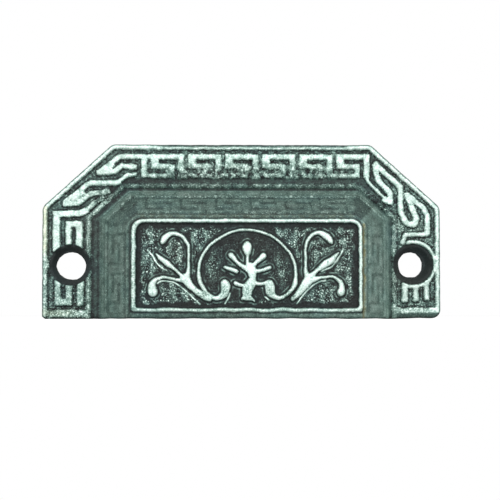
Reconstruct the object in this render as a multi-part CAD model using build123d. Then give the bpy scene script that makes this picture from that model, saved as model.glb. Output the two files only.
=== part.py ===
from build123d import *
import math
import os

# Cast bin pull: a flat flange with cut upper corners, a hollow hood that is open behind and below,
# and a panel of scrollwork on the hood's front. It is one casting, ornament and all.
#
# Sizes are in millimetres. X runs to the right, Y back into the drawer and Z up. The origin lies
# midway between the screw holes, on the back face. Depths are measured forwards from that face,
# so a depth of 5 is the plane y = -5.

# Flange
flange_width = 101.6
flange_height = 44.6
flange_drop = 13.75  # line of the screw holes to the bottom edge
ground_depth = 2.4  # back face to the sunk ground between the ribs
relief_height = 0.85  # ground to the crests of the rim and the key
corner_cut_across = 17.75
corner_cut_down = 16.0
corner_round = 2.4
rim_width = 1.2
foot_rim_width = 2.1  # rim along the bottom of each ear
edge_round = 0.5
foot_corner_round = 1.0
draft = 0.16  # how much wider a rib is at its foot, on each side

# Bead between the key border and the hood
bead_width = 0.95
bead_height = 0.7
bead_inset_side = 11.8
bead_inset_top = 10.35
bead_cut_across = 9.0
bead_cut_down = 8.1

# Screw holes: drilled bores under cast countersinks, the right one cast a little off its bore
hole_inset = 7.15  # flange's side edge to the middle of each bore
left_bore_radius = 3.58
right_bore_radius = 3.32
countersink_radius = 5.3
bore_length = 1.0  # straight part of each bore, from the back face
right_sink_shift_across = 0.4
right_sink_shift_up = 0.2
hole_ring_width = 0.6

# Hood
hood_shift = 0.95  # the hood sits a little right of the flange's middle
border_side = 13.9  # flange edge to the foot of the hood
border_top = 12.1
hood_cut_across = 7.3
hood_cut_down = 6.8
projection = 22.0  # back face to the crest of the panel's bead
side_lean = 8.65  # how far each wall leans in between its foot and the panel
top_lean = 8.1
panel_round = 2.3
wall = 2.4
panel_wall = 2.4
lip_round = 1.1

# Panel
shoulder_drop = 0.55  # crest of the bead back to the shoulder that carries it
field_sink = 1.15  # crest of the bead back to the ground of the field
panel_bead_width = 0.75
panel_bead_inset = 0.2
panel_bead_foot = 1.55  # bottom edge of the hood up to the bead

# Greek key
key_rib = 1.35
key_inset = 3.1  # flange's top edge to the first row
key_row_pitch = 2.42
key_units = 6
left_corner_run = 25.9  # flange's left edge to the first upright of the key
right_corner_run = 18.8
key_inner_share = 0.257  # where a unit's inner uprights stand, as shares of its pitch
key_link_share = 0.75

# Faint key on the sloping walls
wall_key_slit = 0.48  # narrowest gap between two uprights
wall_key_height = 0.3
wall_key_row_pitch = 3.95
wall_key_first_row = 6.5  # foot of the wall to the first row
wall_key_reach = 26.2  # half the run along the top wall
wall_key_side_start = 2.6  # bottom edge of the hood to the run along a side wall
wall_key_side_run = 19.4
foot_line_inset = 3.3
foot_line_width = 1.1

# Scrollwork: reaches are half widths, and heights stand on the field's ground
tendril_reach = 0.75
arch_reach = 0.55
stem_reach = 1.0
stem_height = 0.85
leaf_height = 0.95
bulb_radius = 1.45
bulb_height = 1.0
bulb_sides = 12

# Worked out from the sizes above
flange_left = -flange_width / 2
flange_right = flange_width / 2
flange_bottom = -flange_drop
flange_top = flange_height - flange_drop
hole_reach = flange_width / 2 - hole_inset
crest_depth = ground_depth + relief_height
shoulder_depth = projection - shoulder_drop
field_depth = projection - field_sink
cavity_depth = field_depth - panel_wall
foot_left = flange_left + border_side + hood_shift
foot_right = flange_right - border_side + hood_shift
foot_top = flange_top - border_top
overshoot = 1.0  # how far a cutting solid runs past the face that it opens
root = 0.3  # how far a rib is rooted in what carries it


def front_plane(depth):
    """The plane at this depth, seen from the front, with X to the right and Z up."""
    return Plane.XZ.offset(depth)


def ribbon(points, width, lengthen=0.0):
    """Outline of a band of one width along a line, with mitred bends and square ends."""
    line = [Vector(*point) for point in points]
    headings = [(b - a).normalized() for a, b in zip(line, line[1:])]
    line[0] = line[0] - headings[0] * lengthen
    line[-1] = line[-1] + headings[-1] * lengthen
    left, right = [], []
    for index, point in enumerate(line):
        before = headings[max(index - 1, 0)].rotate(Axis.Z, 90)
        after = headings[min(index, len(headings) - 1)].rotate(Axis.Z, 90)
        mitre = (before + after) * (width / 2 / (1 + before.dot(after)))
        left.append(point + mitre)
        right.append(point - mitre)
    return make_face(Polyline(*left, *reversed(right), close=True))


def rib(points, width, plane, height):
    """A drafted rib that stands on a plane, rooted a little below it."""
    foot = plane.offset(-root) * ribbon(points, width + 2 * draft, draft)
    crest = plane.offset(height) * ribbon(points, width)
    return loft([foot, crest], ruled=True)


def cut_cornered(left, right, bottom, top, cut_across, cut_down):
    """A rectangle whose two upper corners are cut off."""
    outline = Polyline(
        (left, bottom),
        (left, top - cut_down),
        (left + cut_across, top),
        (right - cut_across, top),
        (right, top - cut_down),
        (right, bottom),
        close=True,
    )
    return make_face(outline)


def inset_flange(inset, bottom):
    """The flange's outline moved inwards by one distance, down to a bottom line."""
    slant = math.hypot(corner_cut_across, corner_cut_down)
    shrink = 1 - inset * (corner_cut_across + corner_cut_down - slant) / (corner_cut_across * corner_cut_down)
    return cut_cornered(
        flange_left + inset,
        flange_right - inset,
        bottom,
        flange_top - inset,
        corner_cut_across * shrink,
        corner_cut_down * shrink,
    )


def upper_corners(face):
    return face.vertices().sort_by(Axis.Y)[2:]


def flange_plate():
    """The plate with its rim, and the ground sunk inside the rim."""
    outline = fillet(upper_corners(inset_flange(0, flange_bottom)), corner_round)
    outline = fillet(outline.vertices().sort_by(Axis.Y)[:2], foot_corner_round)
    plate = extrude(front_plane(0) * outline, crest_depth)
    plate = fillet(plate.faces().sort_by(Axis.Y)[0].edges(), edge_round)
    floor_line = flange_bottom + foot_rim_width
    bend = corner_round - rim_width
    wide = fillet(upper_corners(inset_flange(rim_width, floor_line)), bend)
    narrow = fillet(upper_corners(inset_flange(rim_width + draft, floor_line + draft)), bend)
    pocket = loft([front_plane(ground_depth) * narrow, front_plane(crest_depth + draft) * wide], ruled=True)
    return plate - pocket


def bead_groove():
    """Opens the ground between bead and hood down through the flange's bottom edge."""
    face = cut_cornered(
        flange_left + bead_inset_side,
        flange_right - bead_inset_side,
        flange_bottom - overshoot,
        flange_bottom + foot_rim_width + overshoot,
        bead_width,
        bead_width,
    )
    return extrude(front_plane(ground_depth) * face, relief_height + overshoot)


def flange_bead():
    left = flange_left + bead_inset_side
    right = flange_right - bead_inset_side
    top = flange_top - bead_inset_top
    line = [
        (left, flange_bottom + draft),
        (left, top - bead_cut_down),
        (left + bead_cut_across, top),
        (right - bead_cut_across, top),
        (right, top - bead_cut_down),
        (right, flange_bottom + draft),
    ]
    return rib(line, bead_width, front_plane(ground_depth), bead_height)


def meander(start, end, units, first_row, row_step):
    """Line of a running key from one upright to the last, over three rows."""
    pitch = (end - start) / units
    top, middle, low = first_row, first_row + row_step, first_row + 2 * row_step
    line = [(start, top)]
    for unit in range(units):
        upright = start + unit * pitch
        inner = upright + pitch * key_inner_share
        link = upright + pitch * key_link_share
        line += [(upright, low), (link, low), (link, middle), (inner, middle), (inner, top)]
        line += [(upright + pitch, top)]
    return line + [(end, low)]


def top_key():
    """The six running units between the corner pieces."""
    start = flange_left + left_corner_run
    end = flange_right - right_corner_run
    line = meander(start, end, key_units, flange_top - key_inset, -key_row_pitch)
    return [rib(line, key_rib, front_plane(ground_depth), relief_height)]


def ribs_from_corner(strokes, side):
    """Ribs drawn as (width, points), each point measured in from a flange edge and down from the top."""
    edge = flange_left if side > 0 else flange_right
    pieces = []
    for width, points in strokes:
        line = [(edge + side * across, flange_top - down) for across, down in points]
        pieces.append(rib(line, width, front_plane(ground_depth), relief_height))
    return pieces


def left_corner_key():
    """The key turns down the left ear in two slanting folds, then frames the screw hole."""
    slope = [(left_corner_run + key_rib / 2, key_inset), (19.6, key_inset), (14.3, 7.3)]
    strokes = [
        (key_rib, slope),
        (1.2, [(13.8, 7.2), (18.1, 7.1), (20.1, 5.5), (23.8, 5.9)]),
        (0.9, [(24.0, 7.6), (21.5, 7.9), (19.0, 9.8)]),
        (1.25, [(20.0, 9.4), (18.6, 9.85), (11.9, 9.9), (9.5, 11.9), (5.6, 15.0)]),
        (1.2, [(5.2, 15.2), (8.7, 15.1), (10.5, 14.1), (12.5, 12.5), (15.6, 12.3), (17.2, 11.9)]),
        (1.0, [(15.6, 13.6), (13.2, 15.0), (11.2, 16.9)]),
        (1.5, [(11.7, 16.6), (9.9, 17.6), (3.3, 17.9), (3.3, 27.5)]),
        (1.4, [(6.6, 27.5), (6.6, 20.4), (9.4, 20.4), (9.4, 27.5)]),
        (1.4, [(3.7, 34.7), (3.7, 40.2), (6.7, 40.2), (6.7, 34.7)]),
        (1.35, [(9.5, 34.7), (9.5, 41.0)]),
    ]
    return ribs_from_corner(strokes, 1)


def right_corner_key():
    """The key turns down the right ear in two hooked folds, with three bars below the hole."""
    strokes = [
        (0.9, [(right_corner_run, 8.0), (18.4, 9.5), (14.2, 13.7)]),
        (1.5, [(14.6, 13.7), (12.8, 14.7)]),
        (1.4, [(12.8, 15.4), (12.7, 12.5), (15.9, 9.0), (16.4, 6.8), (16.4, 4.3)]),
        (1.35, [(16.9, 4.6), (10.1, 10.9), (10.1, 17.3), (8.7, 19.7)]),
        (1.4, [(9.2, 18.9), (8.6, 20.2), (7.5, 20.6), (6.1, 20.1), (6.0, 18.8), (7.5, 15.5), (8.5, 12.2)]),
        (1.35, [(8.7, 12.5), (4.3, 16.2), (3.2, 18.2), (3.2, 23.2)]),
        (0.95, [(3.0, 23.0), (9.0, 23.0), (9.7, 24.9)]),
        (1.4, [(9.0, 35.2), (9.0, 40.3)]),
        (1.25, [(6.2, 35.2), (6.2, 40.1)]),
        (1.15, [(3.2, 34.7), (3.2, 39.8)]),
    ]
    return ribs_from_corner(strokes, -1)


def right_sink_centre():
    return hole_reach + right_sink_shift_across, right_sink_shift_up


def right_hole_ring():
    """Raised ring round the right countersink."""
    across, up = right_sink_centre()
    ring = Circle(countersink_radius + hole_ring_width) - Circle(countersink_radius - overshoot)
    return extrude(front_plane(ground_depth - root) * Pos(across, up) * ring, root + relief_height)


def countersink(across, up, radius):
    """Cone from a bore's mouth out to the crests, and a little past them."""
    rise = (countersink_radius - radius) / (crest_depth - bore_length)
    height = crest_depth - bore_length + overshoot
    cone = Cone(radius, radius + rise * height, height, align=(Align.CENTER, Align.CENTER, Align.MIN))
    return front_plane(bore_length) * Pos(across, up) * cone


def screw_hole(across, radius):
    cylinder = Cylinder(radius, crest_depth + 2 * overshoot, align=(Align.CENTER, Align.CENTER, Align.MIN))
    return front_plane(-overshoot) * Pos(across, 0) * cylinder


def hood_section(depth, inset=0.0, bottom=flange_bottom):
    """The hood's cut-cornered outline at a depth, moved inwards by an inset."""
    share = (depth - ground_depth) / (shoulder_depth - ground_depth)
    lean = share * side_lean + inset
    cut_across = hood_cut_across + share * (panel_round - hood_cut_across)
    cut_down = hood_cut_down + share * (panel_round - hood_cut_down)
    slant = math.hypot(cut_across, cut_down)
    shrink = 1 - inset * (cut_across + cut_down - slant) / (cut_across * cut_down)
    return cut_cornered(
        foot_left + lean,
        foot_right - lean,
        bottom,
        foot_top - share * top_lean - inset,
        cut_across * shrink,
        cut_down * shrink,
    )


def panel_outline(inset, bottom):
    """The panel's outline moved inwards by an inset, with its rounded upper corners."""
    left = foot_left + side_lean + inset
    right = foot_right - side_lean - inset
    top = foot_top - top_lean - inset
    bend = panel_round - inset
    outline = Polyline((left, top - bend), (left, bottom), (right, bottom), (right, top - bend))
    outline += RadiusArc((right, top - bend), (right - bend, top), -bend)
    outline += Line((right - bend, top), (left + bend, top))
    outline += RadiusArc((left + bend, top), (left, top - bend), -bend)
    return make_face(outline)


def hood_shell():
    """The hood's outer form, drawn in from the foot to the panel's shoulder."""
    foot = front_plane(0) * hood_section(0)
    shoulder = front_plane(shoulder_depth) * panel_outline(0, flange_bottom)
    shell = loft([foot, shoulder], ruled=True)
    lip = shell.faces().sort_by(Axis.Y)[0].edges().sort_by(Axis.Z)[0]
    return fillet(lip, lip_round)


def hood_cavity():
    """The finger space: it follows the walls and is open behind and below."""
    below = flange_bottom - overshoot
    mouth = front_plane(-overshoot) * hood_section(-overshoot, wall, below)
    end = front_plane(cavity_depth) * hood_section(cavity_depth, wall, below)
    return loft([mouth, end], ruled=True)


def panel_bead():
    """The thin bead that frames the field."""
    foot = flange_bottom + panel_bead_foot
    outer = panel_outline(panel_bead_inset, foot)
    inner = panel_outline(panel_bead_inset + panel_bead_width, foot + panel_bead_width)
    ring = extrude(front_plane(field_depth - root) * outer, field_sink + root)
    return ring - extrude(front_plane(field_depth - 2 * root) * inner, field_sink + 3 * root)


def panel_field():
    """The sunk field inside the bead."""
    inset = panel_bead_inset + panel_bead_width / 2
    face = panel_outline(inset, flange_bottom + panel_bead_foot + panel_bead_width / 2)
    return extrude(front_plane(field_depth) * face, field_sink)


def wall_plane(corner, along, lean_across, lean_up):
    """A plane on a sloping wall: x runs along the wall's foot, y from the foot towards the panel, and the
    normal points out of the hood."""
    rise = Vector(lean_across, -(shoulder_depth - ground_depth), lean_up)
    return Plane(corner, x_dir=along, z_dir=rise.cross(Vector(*along)))


def hood_walls():
    """Left, top and right walls, each with the run of its foot that the key is drawn along."""
    left = wall_plane((foot_left, -ground_depth, flange_bottom), (0, 0, 1), side_lean, 0)
    top = wall_plane(((foot_left + foot_right) / 2, -ground_depth, foot_top), (1, 0, 0), 0, -top_lean)
    right = wall_plane((foot_right, -ground_depth, flange_bottom), (0, 0, -1), -side_lean, 0)
    side_end = wall_key_side_start + wall_key_side_run
    return [
        (left, wall_key_side_start, side_end, 2),
        (top, -wall_key_reach, wall_key_reach, key_units),
        (right, -side_end, -wall_key_side_start, 2),
    ]


def wall_ornament():
    """The faint key that runs up, across and down the sloping walls, with a line along their feet."""
    pieces = []
    for plane, start, end, units in hood_walls():
        line = meander(start, end, units, -wall_key_first_row, -wall_key_row_pitch)
        step_to_next = (end - start) / units * (1 - key_link_share)
        pieces.append(rib(line, step_to_next - wall_key_slit, plane, wall_key_height))
        foot_line = [(start, -foot_line_inset), (end, -foot_line_inset)]
        pieces.append(rib(foot_line, foot_line_width, plane, wall_key_height))
    return pieces


panel_middle = (foot_left + foot_right) / 2
scroll_plane = Plane((panel_middle, -field_depth, flange_bottom), x_dir=(1, 0, 0), z_dir=(0, -1, 0))


def tendril(half_width, heading, *points):
    """A rounded stem that runs through its points in tangent arcs, setting off along a heading."""
    edges = []
    for start, end in zip(points, points[1:]):
        arc = TangentArc(start, end, tangent=heading)
        heading = arc % 1
        edges.append(arc)
    path = scroll_plane * Wire(edges)
    onward = path % 0
    across = scroll_plane.z_dir.cross(onward)
    side = [(half_width, -root), (half_width, 0), (half_width * 0.8, stem_height * 0.6)]
    side.append((half_width * 0.35, stem_height))
    outline = side + [(-x, y) for x, y in reversed(side)]
    section = Plane(path @ 0, x_dir=across, z_dir=onward) * make_face(Polyline(*outline, close=True))
    return sweep(section, path)


def bulb(across, up, radius=bulb_radius):
    """A low domed berry."""
    rings = [(radius, -root), (radius, 0), (radius * 0.82, bulb_height * 0.6), (radius * 0.4, bulb_height)]
    sections = []
    for reach, height in rings:
        sections.append(scroll_plane * Pos(across, up, height) * RegularPolygon(reach, bulb_sides))
    return loft(sections, ruled=True)


def leaf(half_width, tip, foot):
    """A leaf or petal with a ridge along its middle, pointed at both ends."""
    tip, foot = Vector(*tip), Vector(*foot)
    onward = (foot - tip).normalized()
    sections = [Vertex(*tip)]
    for share, swell in ((0.2, 0.55), (0.45, 0.95), (0.7, 1.0), (0.9, 0.6)):
        reach = half_width * swell
        corners = [(-reach, -root), (reach, -root), (reach, 0), (0, leaf_height * swell), (-reach, 0)]
        ridge = Polyline(*corners, close=True)
        plane = Plane(tip + (foot - tip) * share, x_dir=onward.rotate(Axis.Z, 90), z_dir=onward)
        sections.append(plane * make_face(ridge))
    sections.append(Vertex(*foot))
    return scroll_plane * loft(sections, ruled=True)


def spray():
    """The right-hand spray: two curling tendrils and a leaf from one knot, on a stem."""
    return [
        tendril(tendril_reach, (0.3, 1), (19.9, 19.9), (17.9, 21.3), (14.4, 17.0), (14.8, 9.8)),
        tendril(tendril_reach, (0.1, 1), (23.1, 7.6), (20.4, 10.3), (15.0, 9.7)),
        tendril(stem_reach, (-1, -0.45), (15.6, 9.9), (11.6, 6.2), (8.8, 4.9)),
        leaf(1.2, (24.6, 17.6), (14.6, 9.5)),
        bulb(20.2, 19.4),
        bulb(23.1, 7.1),
        bulb(15.0, 9.7),
    ]


def half_arch():
    """The arch's right half, from its crown down to the volute at its foot."""
    curve = [(0, 21.8), (6.3, 19.9), (10.8, 15.3), (11.8, 10.2), (10, 6.4), (7.9, 5.1), (6.2, 6.2)]
    return [tendril(arch_reach, (1, 0), *curve), bulb(5.6, 7.8)]


def palmette():
    """A bud over four petals, on a trunk with two arms that reach the volutes."""
    right_side = [
        leaf(0.95, (4.8, 16.2), (0.2, 12.0)),
        leaf(0.85, (6.9, 12.7), (0.2, 11.6)),
        tendril(arch_reach, (1, 0.1), (0, 8.5), (5.2, 8.6)),
    ]
    middle = [
        leaf(1.2, (0, 19.4), (0, 15.2)),
        tendril(arch_reach, (0.01, -1), (0, 16.6), (0.1, 12.6)),
        bulb(0, 12.0),
        tendril(stem_reach, (0.1, -1), (0, 12.0), (0, 4.2)),
    ]
    return right_side, middle


def scrollwork():
    """Mirrored sprays, an arch between them and a palmette under the arch."""
    petals, middle = palmette()
    right_side = spray() + half_arch() + petals
    mirror_plane = Plane((panel_middle, 0, 0), z_dir=(1, 0, 0))
    return right_side + [mirror(piece, about=mirror_plane) for piece in right_side] + middle


def pull_casting():
    body = flange_plate() - bead_groove()
    body += hood_shell()
    body -= panel_field()
    raised = [panel_bead(), flange_bead(), right_hole_ring()]
    body += raised + top_key() + left_corner_key() + right_corner_key()
    body += wall_ornament()
    body += scrollwork()
    body -= hood_cavity()
    across, up = right_sink_centre()
    body -= countersink(-hole_reach, 0, left_bore_radius)
    body -= countersink(across, up, right_bore_radius)
    body -= screw_hole(-hole_reach, left_bore_radius)
    body -= screw_hole(hole_reach, right_bore_radius)
    return body


os.makedirs("parts", exist_ok=True)
export_step(pull_casting(), "parts/pull_casting.step")
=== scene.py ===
import math
from functools import partial

import bpy
import numpy as np
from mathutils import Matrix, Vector


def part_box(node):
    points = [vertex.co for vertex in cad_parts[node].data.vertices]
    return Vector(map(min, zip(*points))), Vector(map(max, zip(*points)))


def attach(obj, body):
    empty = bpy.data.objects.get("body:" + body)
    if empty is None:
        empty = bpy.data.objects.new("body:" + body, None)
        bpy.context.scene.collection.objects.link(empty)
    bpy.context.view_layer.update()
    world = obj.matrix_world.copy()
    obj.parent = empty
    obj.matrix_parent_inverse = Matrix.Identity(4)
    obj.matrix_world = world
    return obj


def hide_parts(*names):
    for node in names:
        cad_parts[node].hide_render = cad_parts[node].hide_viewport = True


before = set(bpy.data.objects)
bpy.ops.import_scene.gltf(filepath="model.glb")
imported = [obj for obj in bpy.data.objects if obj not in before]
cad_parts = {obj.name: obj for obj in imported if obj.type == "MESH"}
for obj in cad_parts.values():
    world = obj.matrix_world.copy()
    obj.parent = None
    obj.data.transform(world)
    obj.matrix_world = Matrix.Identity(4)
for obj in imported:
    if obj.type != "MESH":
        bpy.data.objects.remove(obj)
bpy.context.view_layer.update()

# Cast bin pull: one dense casting that stands for the CAD solid. Sizes are in millimetres until the mesh
# is made. A point in plan is (x, z), as seen from the front, and a depth is measured forwards from the
# back face, so a depth of 5 lies at y = -5.
MM = 0.001
low, high = (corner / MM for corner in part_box("pull_casting"))
flange_left, flange_right = low.x, high.x
flange_bottom, flange_top = low.z, high.z
flange_width = flange_right - flange_left
projection = -low.y

# Flange
ground_depth = 2.4
relief_height = 0.85
corner_cut_across = 17.75
corner_cut_down = 16.0
corner_round = 2.4
foot_round_left = 0.8
foot_round_right = 2.2
rim_width = 1.2
foot_rim_left = 2.25
foot_rim_right = 2.85
edge_round = 0.5
# Tone factor on the rounded outer edge's rows: painted shade where the edge turns away from the light
rounded_edge_shade = 0.7
rim_row_distances = (0.27, 0.09, 0.0)
foot_edge_left = 0.95
foot_edge_right = 1.6

# Bead between the key border and the hood
bead_width = 0.95
bead_height = 0.7
bead_inset_side = 11.8
bead_inset_top = 10.6
bead_cut_across = 9.0
bead_cut_down = 8.1

# Screw holes
hole_reach = flange_right - 7.15
left_bore_radius = 3.66
right_bore_radius = 3.2
countersink_radius = 5.3
bore_length = 1.0
right_sink_shift = (0.22, 0.25)
hole_ring_width = 0.6

# Hood
hood_shift = 0.95
border_side = 13.9
border_top = 12.1
hood_cut_across = 7.3
hood_cut_down = 6.8
side_lean = 8.65
top_lean = 8.1
panel_round = 2.3
corner_bulge = 0.67
panel_bead_round = 3.1
wall = 2.4
panel_wall = 2.4
lip_round = 1.1
shoulder_depth = projection - 0.55
field_depth = projection - 1.15
cavity_depth = field_depth - panel_wall
rise = shoulder_depth - ground_depth
mouth_side = 1.09  # how far the cavity widens between the flange's ground and its back, at each side
mouth_top = 1.02
foot_left = flange_left + border_side + hood_shift
foot_right = flange_right - border_side + hood_shift
foot_top = flange_top - border_top
panel_left = foot_left + side_lean
panel_right = foot_right - side_lean
panel_top = foot_top - top_lean
panel_middle = (panel_left + panel_right) / 2
bead_foot = flange_bottom + 1.72
bead_overhang = 0.24  # how far the panel's bead stands over the panel's right edge and its top

# Greek key
key_inset = 3.1
key_row_pitch = 2.42
key_units = 6
left_corner_run = 25.9
right_corner_run = 18.8
key_inner_share = 0.29
key_link_share = 0.75
key_start = flange_left + left_corner_run
key_pitch = (flange_width - left_corner_run - right_corner_run) / key_units

# Faint key on the sloping walls
wall_key_rib = 1.75
wall_key_row_pitch = 4.2
wall_key_first_row = 6.5
wall_key_reach = 26.2
wall_key_side_start = 2.6
wall_key_side_run = 19.4
wall_key_side_units = 2
wall_relief = 0.3
foot_line_inset = 3.5
foot_line_width = 1.1
upper_line_inset = 18.4
upper_line_width = 1.0

# Scrollwork in the panel
thin_line_width = 0.19
thin_line_height = 0.16
skirt_height = 0.08
bead_crest_inset = 0.5
bead_half_width = 0.68
panel_bead_height = 1.7
bead_inner_edge = 1.05

# Mesh: its grid gaps, and the distances from a rib's edge that grid points near them are moved to
flank_levels = (-0.06, 0.2)
flank_reach = 0.11
flange_gap = 0.28
wall_gap = 0.165
panel_gap = 0.215
back_gap = 1.05
outline_centre = (0.0, 8.0)


# Plain helpers on arrays

def ease(value, start, end):
    """0 up to the start, 1 from the end on, and a smooth rise in between."""
    share = np.clip((value - start) / (end - start), 0, 1)
    return share * share * (3 - 2 * share)


def hump(value, half_width):
    """1 where the value is 0, falling away softly on both sides."""
    return np.exp(-((value / half_width) ** 2))


def mixed(first, second, share):
    return first * (1 - share) + second * share


def smooth_least(a, b, reach):
    """The lesser of two fields, rounded over where they come within one reach of each other."""
    blend = np.clip(0.5 + 0.5 * (b - a) / reach, 0, 1)
    return b + (a - b) * blend - reach * blend * (1 - blend)


def smooth_most(a, b, reach):
    return -smooth_least(-a, -b, reach)


def waves(x, z, length, seed, count=9):
    """Smooth waviness of about one wavelength, mostly between -1 and 1."""
    random = np.random.default_rng(seed)
    total = np.zeros_like(x)
    for _ in range(count):
        heading, phase = random.uniform(0, 2 * math.pi, 2)
        number = 2 * math.pi / (length * random.uniform(0.7, 1.5))
        total += np.cos(number * (x * math.cos(heading) + z * math.sin(heading)) + phase)
    return total / math.sqrt(count)


def grain(x, z, cell, seed):
    """Value noise from 0 to 1 with cells of one size."""
    size = 128
    table = np.random.default_rng(seed).random((size, size))
    across, up = x / cell, z / cell
    left, below = np.floor(across).astype(int), np.floor(up).astype(int)
    right, above = ease(across - left, 0, 1), ease(up - below, 0, 1)

    def corner(column, row):
        return table[(left + column) % size, (below + row) % size]

    lower, upper = (mixed(corner(0, row), corner(1, row), right) for row in (0, 1))
    return mixed(lower, upper, above)


def line_distance(x, z, start, end):
    """Distance to a straight stretch, and the share of it at which the nearest point lies."""
    (ax, az), (bx, bz) = start, end
    dx, dz = bx - ax, bz - az
    share = np.clip(((x - ax) * dx + (z - az) * dz) / (dx * dx + dz * dz), 0, 1)
    return np.hypot(x - ax - share * dx, z - az - share * dz), share


def polygon_distance(x, z, corners):
    """Distance inside a polygon's outline, negative outside it."""
    nearest = np.full(x.shape, np.inf)
    inside = np.zeros(x.shape, bool)
    for start, end in zip(corners, corners[1:] + corners[:1]):
        nearest = np.minimum(nearest, line_distance(x, z, start, end)[0])
        if start[1] != end[1]:
            crosses = (start[1] > z) != (end[1] > z)
            edge = start[0] + (z - start[1]) / (end[1] - start[1]) * (end[0] - start[0])
            inside ^= crosses & (x < edge)
    return np.where(inside, nearest, -nearest)


def bar_distance(x, z, width, start, end, before, after, corner=0.22):
    """Distance outside a straight bar with square ends and slightly rounded corners."""
    (ax, az), (bx, bz) = start, end
    length = math.hypot(bx - ax, bz - az)
    ux, uz = (bx - ax) / length, (bz - az) / length
    along = (x - ax) * ux + (z - az) * uz
    aside = np.abs((z - az) * ux - (x - ax) * uz)
    middle = (length + after - before) / 2
    half = (length + after + before) / 2
    over_end = np.abs(along - middle) - half + corner
    over_side = aside - width / 2 + corner
    outside = np.hypot(np.maximum(over_end, 0), np.maximum(over_side, 0))
    return outside + np.minimum(np.maximum(over_end, over_side), 0) - corner


def band_distance(x, z, points, width):
    """Distance outside a band with square bends and ends, negative inside it."""
    headings = [math.atan2(b[1] - a[1], b[0] - a[0]) for a, b in zip(points, points[1:])]
    turns = [abs(math.remainder(b - a, 2 * math.pi)) for a, b in zip(headings, headings[1:])]
    mitres = [0.0] + [width / 2 * math.tan(min(turn, 1.6) / 2) for turn in turns] + [0.0]
    bars = zip(points, points[1:], mitres, mitres[1:])
    return np.minimum.reduce([bar_distance(x, z, width, *bar) for bar in bars])


def bands_distance(x, z, bands):
    return np.minimum.reduce([band_distance(x, z, points, width) for width, points in bands])


def blob(across, up, half_width, half_height):
    """A soft oval patch, 1 in its middle."""
    return np.exp(-((across / half_width) ** 2) - (up / half_height) ** 2)


# Flange

def rounded_corner(side, end, bend):
    """Distance inside two edges at a right angle whose corner is rounded."""
    rounded = bend - np.hypot(bend - side, bend - end)
    return np.where((side < bend) & (end < bend), rounded, np.minimum(side, end))


def cut_cornered(left, right, bottom, top, cut_across, cut_down):
    return [
        (left, bottom),
        (left, top - cut_down),
        (left + cut_across, top),
        (right - cut_across, top),
        (right, top - cut_down),
        (right, bottom),
    ]


def inset_flange(inset):
    slant = math.hypot(corner_cut_across, corner_cut_down)
    shrink = 1 - inset * (corner_cut_across + corner_cut_down - slant) / (corner_cut_across * corner_cut_down)
    return cut_cornered(
        flange_left + inset,
        flange_right - inset,
        flange_bottom - 20,
        flange_top - inset,
        corner_cut_across * shrink,
        corner_cut_down * shrink,
    )


def side_distance(x, z):
    """Distance inside the flange's sides and top, which cast unevenly."""
    uneven = 0.03 + 0.04 * waves(x, z, 4.5, 11) + 0.02 * waves(x, z, 1.6, 12)
    return polygon_distance(x, z, inset_flange(corner_round)) + corner_round - np.maximum(uneven, 0)


def foot_distance(x, z):
    """Distance above the bottom edge, which wears higher in the middle than at the hood's corners."""
    worn = 0.16 + 0.06 * waves(x, z, 6.0, 13)
    low_spots = hump(x - foot_left, 2.6) + hump(x - foot_right, 2.6)
    low_spots = np.maximum(low_spots, ease(-x, 36, 39))
    return z - flange_bottom - np.maximum(worn * (1 - low_spots), 0)


def key_wear(x, z):
    """How worn the key is, from 0 to 1: most in the lower rows along the middle of the top, and by the
    bead at the upper left."""
    foot = flange_top - key_inset - 2 * key_row_pitch - 0.6
    along = np.exp(-(((x - 2.0) / 26) ** 4)) * ease(z, foot - 0.5, foot)
    along *= 0.35 + 0.65 * ease(27.2 - z, 0, 1.6)
    return np.maximum(along, blob(x + 35.2, z - 17.0, 4.0, 3.0))


def key_silt(x, z):
    """Where the slots between the key's ribs have filled up, from 0 to 1: the lower slots in patches, and
    the narrow upright slot of each unit."""
    middle, along = flange_top - key_inset - key_row_pitch, x - key_start
    in_run = (along > 0) & (along < key_units * key_pitch) & (z > middle - 0.9)
    upright_slot = hump(along % key_pitch - 1.2, 0.42) * in_run
    upright_slot *= ease(waves(x, z, 1.7, 76), -0.9, 0.3)
    lower = ease(middle - z, -0.5, 0.3) * ease(waves(x, z, 2.2, 73), -0.3, 0.7)
    return np.maximum(key_wear(x, z) * lower * (z > 20), 0.75 * upright_slot)


def outline_distance(x, z):
    bend = np.where(x < 0, foot_round_left, foot_round_right)
    return rounded_corner(side_distance(x, z), foot_distance(x, z), bend)


def meander(start, end, units, first_row, row_step):
    """Line of a running key from one upright to the last, over three rows."""
    pitch = (end - start) / units
    top, middle, bottom = first_row, first_row + row_step, first_row + 2 * row_step
    line = [(start, top)]
    for unit in range(units):
        upright = start + unit * pitch
        inner = upright + pitch * key_inner_share
        link = upright + pitch * key_link_share
        line += [(upright, bottom), (link, bottom), (link, middle), (inner, middle), (inner, top)]
        line += [(upright + pitch, top)]
    return line + [(end, bottom)]


def from_corner(strokes, side):
    """Bands whose points are measured in from a flange side and down from the top."""
    edge = flange_left if side > 0 else flange_right
    bands = []
    for width, points in strokes:
        bands.append((width, [(edge + side * across, flange_top - down) for across, down in points]))
    return bands


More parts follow.
